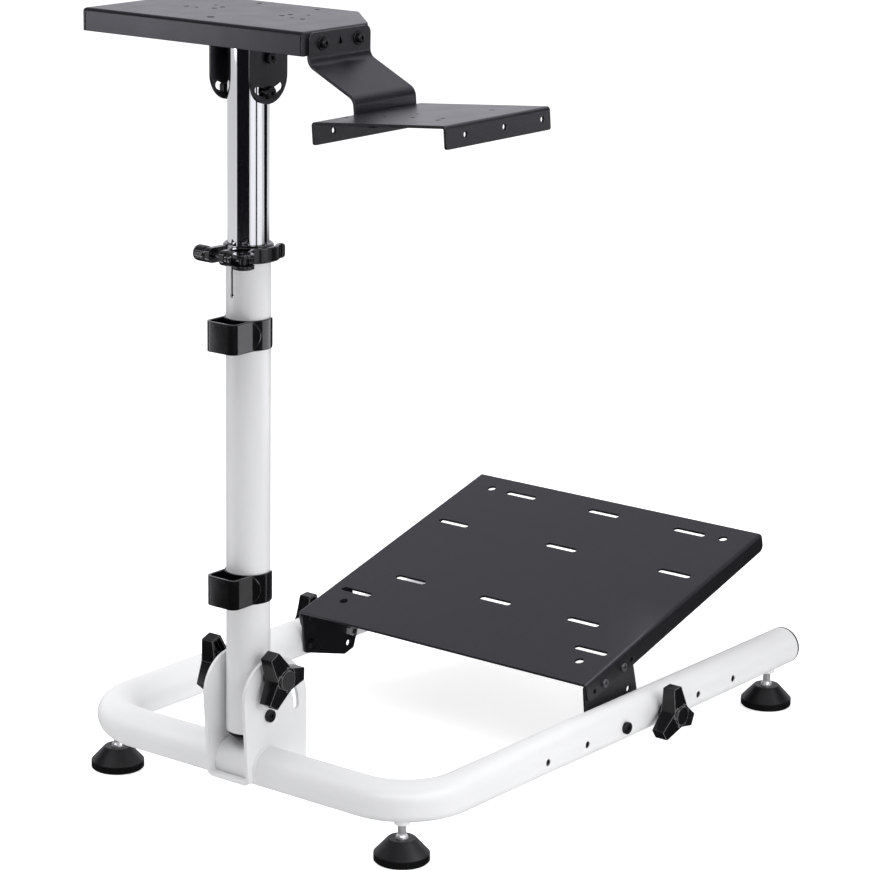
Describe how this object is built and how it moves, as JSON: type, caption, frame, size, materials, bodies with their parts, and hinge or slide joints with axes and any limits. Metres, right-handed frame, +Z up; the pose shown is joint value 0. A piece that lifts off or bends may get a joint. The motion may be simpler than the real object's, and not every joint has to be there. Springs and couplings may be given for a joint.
{
  "type": "racing wheel stand",
  "caption": "Folding stand with a tilting wheel plate on a telescopic chrome mast, a side shifter plate, a sloped slotted pedal plate and a U-shaped tube base on levelling feet.",
  "frame": {"origin": "on the floor, straight below the middle of the crossbar's axis", "axes": "+X to the driver's right (shifter side), +Y forward to the pedals, +Z up"},
  "size_m": [0.6981, 0.9275, 0.9375],
  "materials": {
    "white_paint": "semi-gloss white powder coat",
    "black_paint": "fine-textured satin black powder coat",
    "chrome_tube": "mirror chrome",
    "zinc_steel": "bright zinc plate",
    "foot_rubber": "matt black rubber",
    "black_plastic": "satin black moulded plastic",
    "black_steel": "black oxide"
  },
  "bodies": {
    "base": {"base_tube": "white_paint", "column_bracket": "white_paint", "column_pivot_bolt": "black_steel", "end_plug_left": "black_plastic", "end_plug_right": "black_plastic", "foot_pad_front_left": "foot_rubber", "foot_pad_front_right": "foot_rubber", "foot_pad_rear_left": "foot_rubber", "foot_pad_rear_right": "foot_rubber", "foot_stud_front_left": "zinc_steel", "foot_stud_front_right": "zinc_steel", "foot_stud_rear_left": "zinc_steel", "foot_stud_rear_right": "zinc_steel", "hanger_screw_front_left": "black_steel", "hanger_screw_front_right": "black_steel", "hanger_screw_rear_left": "black_steel", "hanger_screw_rear_right": "black_steel", "pedal_hanger_left": "black_paint", "pedal_hanger_right": "black_paint", "pedal_nut_left": "zinc_steel", "pedal_nut_right": "zinc_steel", "pedal_pivot_bolt_left": "black_steel", "pedal_pivot_bolt_right": "black_steel", "pedal_plate": "black_paint", "pedal_spacer_left": "black_steel", "pedal_spacer_right": "black_steel"},
    "column": {"cable_clip_lower": "black_plastic", "cable_clip_upper": "black_plastic", "clamp_collar": "black_plastic", "clamp_skewer": "zinc_steel", "column_plug": "black_plastic", "column_tube": "white_paint"},
    "mast": {"mast_tube": "chrome_tube", "tilt_lock_bolt": "black_steel", "tilt_pivot_bolt": "black_steel"},
    "deck": {"shifter_bolt_front": "black_steel", "shifter_bolt_rear": "black_steel", "shifter_bracket": "black_paint", "shifter_plate": "black_paint", "shifter_plate_bolt_front": "black_steel", "shifter_plate_bolt_rear": "black_steel", "tilt_yoke": "black_paint", "wheel_plate": "black_paint"},
    "lever": {"clamp_lever": "black_plastic"},
    "bracket_knob_right": {"bracket_knob_right": "black_plastic"},
    "bracket_knob_left": {"bracket_knob_left": "black_plastic"},
    "pedal_knob_right": {"pedal_knob_right": "black_plastic"},
    "pedal_knob_left": {"pedal_knob_left": "black_plastic"}
  },
  "joints": [
    {"name": "column_fold", "type": "hinge", "parent": "base", "child": "column", "pos_m": [0, 0.003, 0.132], "axis": [-1, 0, 0], "range_deg": [0, 75]},
    {"name": "height_slide", "type": "slide", "parent": "column", "child": "mast", "axis": [0, 0, 1], "range_m": [-0.145, 0.06]},
    {"name": "wheel_plate_tilt", "type": "hinge", "parent": "mast", "child": "deck", "pos_m": [0, 0.003, 0.8905], "axis": [1, 0, 0], "range_deg": [-30, 30]},
    {"name": "quick_release", "type": "hinge", "parent": "column", "child": "lever", "pos_m": [0.03458, -0.0452, 0.6715], "axis": [0, 0, -1], "range_deg": [0, 150]},
    {"name": "bracket_knob_right_turn", "type": "hinge", "parent": "column", "child": "bracket_knob_right", "pos_m": [0.045, 0.003, 0.1805], "axis": [1, 0, 0], "continuous": true},
    {"name": "bracket_knob_left_turn", "type": "hinge", "parent": "column", "child": "bracket_knob_left", "pos_m": [-0.045, 0.003, 0.1805], "axis": [-1, 0, 0], "continuous": true},
    {"name": "pedal_knob_right_turn", "type": "hinge", "parent": "base", "child": "pedal_knob_right", "pos_m": [0.285, 0.4573, 0.0707], "axis": [1, 0, 0], "continuous": true},
    {"name": "pedal_knob_left_turn", "type": "hinge", "parent": "base", "child": "pedal_knob_left", "pos_m": [-0.285, 0.4573, 0.0707], "axis": [-1, 0, 0], "continuous": true}
  ]
}
